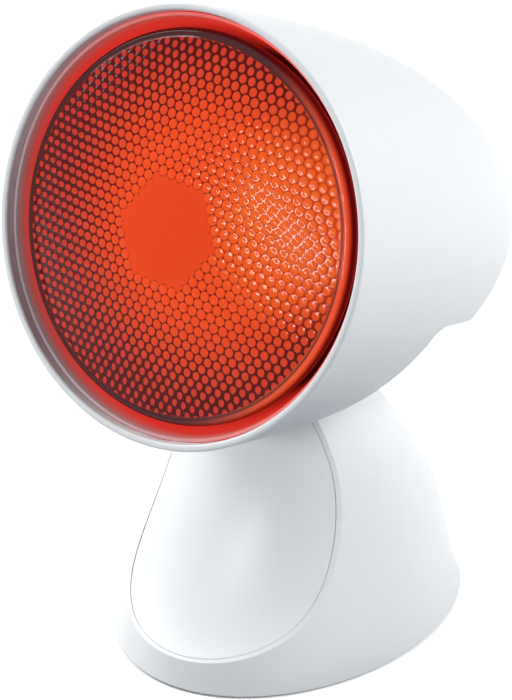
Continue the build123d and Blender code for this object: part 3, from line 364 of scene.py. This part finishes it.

# pressed ruby glass over hexagonal pips: lit orange discs in a dark red net, which widens towards the rim as
# painted shade
rubyPips, tree, shader = newMaterial("pressedRubyGlass", Roughness=glow["roughness"], IOR=glow["ior"],
                                     Emission_Strength=glow["emission"], Specular_IOR_Level=glow["gloss"])
place = addNode(tree, "ShaderNodeUVMap", uv_map="lensPlan")
axes = addNode(tree, "ShaderNodeSeparateXYZ", {0: place.outputs[0]})
fromDark = addNode(tree, "ShaderNodeVectorMath", {0: place.outputs[0], 1: (*glow["darkAway"], 0)},
                   operation="DISTANCE")
fromPaintedLight = addNode(tree, "ShaderNodeVectorMath", {0: place.outputs[0], 1: (*glow["paintedLightAt"], 0)},
                  operation="DISTANCE")
paintedRimShade, small, leftward, paintedLight = [
    addNode(tree, "ShaderNodeMapRange", {"Value": value, "From Min": start, "From Max": end},
            interpolation_type="SMOOTHSTEP").outputs[0]
    for value, (start, end) in ((fromDark.outputs["Value"], glow["darkReach"]),
                                (fromDark.outputs["Value"], glow["smallReach"]),
                                (axes.outputs[0], glow["leftReach"]),
                                (fromPaintedLight.outputs["Value"], glow["paintedLightReach"]))]

# painted shade: near the rim the lit discs are pulled inwards and shrunk, leaving dark crescents and more
# dark net, and on the left they are wide and flat with dark streaks between the rows
pull = addNode(tree, "ShaderNodeMath", {0: paintedRimShade, 1: glow["inward"], 2: 1.0}, operation="MULTIPLY_ADD")
shift = addNode(tree, "ShaderNodeVectorMath", {0: place.outputs[0], 3: pull.outputs[0]}, operation="SCALE")
fullSize = addNode(tree, "ShaderNodeMix",
                   {"Factor": leftward, "A": (*glow["disc"], 1), "B": (*glow["leftDisc"], 1)},
                   data_type="VECTOR")
loss = addNode(tree, "ShaderNodeVectorMath", {0: (*glow["rimLoss"], 0), 3: small}, operation="SCALE")
discSize = addNode(tree, "ShaderNodeVectorMath", {0: fullSize.outputs["Result"], 1: loss.outputs[0]},
                   operation="SUBTRACT")

# a hexagonal lattice is two rectangular ones, half a cell apart; the nearer middle counts
halfCell, lowCorner = (0.5, rowStep, 0), (-0.5, -rowStep, 0)
cells = []
for start in ((0, 0, 0), halfCell):
    moved = addNode(tree, "ShaderNodeVectorMath", {0: shift.outputs[0], 1: start}, operation="ADD")
    wrapped = addNode(tree, "ShaderNodeVectorMath", {0: moved.outputs[0], 1: halfCell, 2: lowCorner},
                      operation="WRAP")
    scaled = addNode(tree, "ShaderNodeVectorMath", {0: wrapped.outputs[0], 1: discSize.outputs[0]},
                     operation="DIVIDE")
    cells.append(addNode(tree, "ShaderNodeVectorMath", {0: scaled.outputs[0]}, operation="LENGTH"))
nearest = addNode(tree, "ShaderNodeMath", {0: cells[0].outputs["Value"], 1: cells[1].outputs["Value"]},
                  operation="MINIMUM")
disc = addNode(tree, "ShaderNodeMapRange", {"Value": nearest.outputs[0], "From Min": glow["discEdge"][0],
                                            "From Max": glow["discEdge"][1]},
               interpolation_type="SMOOTHSTEP")

# painted shade darkens net and discs towards the rim, and a painted highlight brightens them on the right,
# where the front softbox's glints fall on the glass
tones = []
for middleTone, rimTone, litTone in (glow["net"], glow["discs"]):
    darkened = addNode(tree, "ShaderNodeMix",
                       {"Factor": paintedRimShade, "A": linear(middleTone), "B": linear(rimTone)}, data_type="RGBA")
    tones.append(addNode(tree, "ShaderNodeMix",
                         {"Factor": paintedLight, "A": darkened.outputs["Result"], "B": linear(litTone)},
                         data_type="RGBA").outputs["Result"])
pattern = addNode(tree, "ShaderNodeMix", {"Factor": disc.outputs[0], "A": tones[0], "B": tones[1]},
                  data_type="RGBA")
speckle = addNode(tree, "ShaderNodeTexNoise",
                  {"Vector": place.outputs[0], "Scale": glow["speckle"], "Detail": glow["speckleDetail"]})
patch = addNode(tree, "ShaderNodeMix",
                {"Factor": speckle.outputs["Fac"], "A": linear(glow["patch"][0]),
                 "B": linear(glow["patch"][1])}, data_type="RGBA")
pipMask = addNode(tree, "ShaderNodeAttribute", attribute_name="pip")
colour = addNode(tree, "ShaderNodeMix",
                 {"Factor": pipMask.outputs["Fac"], "A": patch.outputs["Result"],
                  "B": pattern.outputs["Result"]}, data_type="RGBA")
dimmed = addNode(tree, "ShaderNodeMix",
                 {"Factor": glow["dimmer"], "A": colour.outputs["Result"], "B": linear("000000")},
                 data_type="RGBA")
tree.links.new(dimmed.outputs["Result"], shader.inputs["Base Color"])
tree.links.new(colour.outputs["Result"], shader.inputs["Emission Color"])
mesh.materials.append(rubyPips)

# the bead's ruby glass: fire-polished, deep red, darker on the left and on its outer face as painted shade,
# with painted light: an orange glow painted along its crest on the right side
bead = {"roughness": 0.05, "ior": 1.52, "emission": 0.5, "gloss": 0.28, "paintedLightReach": (4.0, 17.5),
        "deep": "3E0408", "paintedLight": "E04A1C"}
rubyBead, tree, shader = newMaterial("polishedRubyBead", Roughness=bead["roughness"], IOR=bead["ior"],
                                     Emission_Strength=bead["emission"], Specular_IOR_Level=bead["gloss"])
place = addNode(tree, "ShaderNodeUVMap", uv_map="lensPlan")
axes = addNode(tree, "ShaderNodeSeparateXYZ", {0: place.outputs[0]})
across = addNode(tree, "ShaderNodeMapRange",
                 {"Value": axes.outputs[0], "From Min": bead["paintedLightReach"][0], "From Max": bead["paintedLightReach"][1]},
                 interpolation_type="SMOOTHSTEP")
crestLightShare = addNode(tree, "ShaderNodeAttribute", attribute_name="pip")
paintedLight = addNode(tree, "ShaderNodeMath", {0: across.outputs[0], 1: crestLightShare.outputs["Fac"]}, operation="MULTIPLY")
beadColour = addNode(tree, "ShaderNodeMix",
                     {"Factor": paintedLight.outputs[0], "A": linear(bead["deep"]), "B": linear(bead["paintedLight"])},
                     data_type="RGBA")
for socket in ("Base Color", "Emission Color"):
    tree.links.new(beadColour.outputs["Result"], shader.inputs[socket])
mesh.materials.append(rubyBead)
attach(rubyLens, "head")
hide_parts("bulb_lens")
print("lens finished")

# the set: white paper floor and white surround, lit by softboxes at one distance, in metres and watts
stage = {"size": 1.8, "floorSeen": 1.34, "floorShade": "66707A", "floorRoughness": 0.9, "floorGloss": 0.1,
         "world": "C8DCF0", "worldStrength": 0.05, "aim": (0, 0, 0.11), "distance": 1.6,
         "softboxes": [
             # name, bearing, height as angles, width, tall, roll, power
             ("rightBank", 27, 34, 1.3, 1.0, 0, 25.5),
             ("leftBank", -174, 32, 1.0, 0.9, 0, 23.5),
             ("frontStrip", -98, 13, 0.66, 0.08, -27, 10.0),
         ]}


def seenDirectly(tree):
    # camera, glossy and transmission rays see the plain white set
    rays = addNode(tree, "ShaderNodeLightPath")
    first = addNode(tree, "ShaderNodeMath",
                    {0: rays.outputs["Is Camera Ray"], 1: rays.outputs["Is Glossy Ray"]},
                    operation="MAXIMUM")
    return addNode(tree, "ShaderNodeMath", {0: first.outputs[0], 1: rays.outputs["Is Transmission Ray"]},
                   operation="MAXIMUM").outputs[0]


bm = bmesh.new()
bmesh.ops.create_grid(bm, x_segments=4, y_segments=4, size=stage["size"] / 2)
mesh = bpy.data.meshes.new("floor")
bm.to_mesh(mesh)
bm.free()
floor = bpy.data.objects.new("floor", mesh)
bpy.context.scene.collection.objects.link(floor)

# matt paper: white to the eye with a soft shadow, and a cooler grey in the light that it throws back
floorPaper, tree, shader = newMaterial("mattWhitePaper", Roughness=stage["floorRoughness"],
                                       Specular_IOR_Level=stage["floorGloss"])
paper = addNode(tree, "ShaderNodeMix",
                {"Factor": seenDirectly(tree), "A": linear(stage["floorShade"]),
                 "B": (*[stage["floorSeen"]] * 3, 1)}, data_type="RGBA")
tree.links.new(paper.outputs["Result"], shader.inputs["Base Color"])
mesh.materials.append(floorPaper)

world = bpy.data.worlds.new("studio")
bpy.context.scene.world = world
world.use_nodes = True
tree = world.node_tree
tree.nodes.clear()
ambient = addNode(tree, "ShaderNodeBackground",
                  {"Color": linear(stage["world"]), "Strength": stage["worldStrength"]})
white = addNode(tree, "ShaderNodeBackground", {"Color": (1, 1, 1, 1), "Strength": 1.0})
surround = addNode(tree, "ShaderNodeMixShader",
                   {0: seenDirectly(tree), 1: ambient.outputs[0], 2: white.outputs[0]})
addNode(tree, "ShaderNodeOutputWorld", {"Surface": surround.outputs[0]})

for name, bearing, height, width, tall, roll, power in stage["softboxes"]:
    lamp = bpy.data.lights.new(name, "AREA")
    lamp.shape = "RECTANGLE"
    lamp.size, lamp.size_y, lamp.energy = width, tall, power
    softbox = bpy.data.objects.new(name, lamp)
    aim = Vector(stage["aim"])
    turn, rise = math.radians(bearing), math.radians(height)
    outward = Vector((math.cos(turn) * math.cos(rise), math.sin(turn) * math.cos(rise), math.sin(rise)))
    softbox.location = aim + stage["distance"] * outward
    facing = (aim - softbox.location).to_track_quat("-Z", "Y").to_matrix().to_4x4()
    softbox.rotation_euler = (facing @ Matrix.Rotation(math.radians(roll), 4, "Z")).to_euler()
    softbox.visible_camera = False
    bpy.context.scene.collection.objects.link(softbox)

# long lens from the right, a little above
camera = {"place": (638.2, -874.1, 644.5), "aim": (-5.25, -22.17, 96.27), "lens": 193.8, "sensor": 36.0}
lensView = bpy.data.cameras.new("studioCamera")
lensView.sensor_fit = "VERTICAL"
lensView.sensor_height = camera["sensor"]
lensView.lens = camera["lens"]
viewer = bpy.data.objects.new("studioCamera", lensView)
viewer.location = Vector(camera["place"]) * mm
viewer.rotation_euler = (Vector(camera["aim"]) - Vector(camera["place"])).to_track_quat("-Z", "Y").to_euler()
bpy.context.scene.collection.objects.link(viewer)
bpy.context.scene.camera = viewer
bpy.context.scene.view_settings.view_transform = "Standard"
print("stage set")
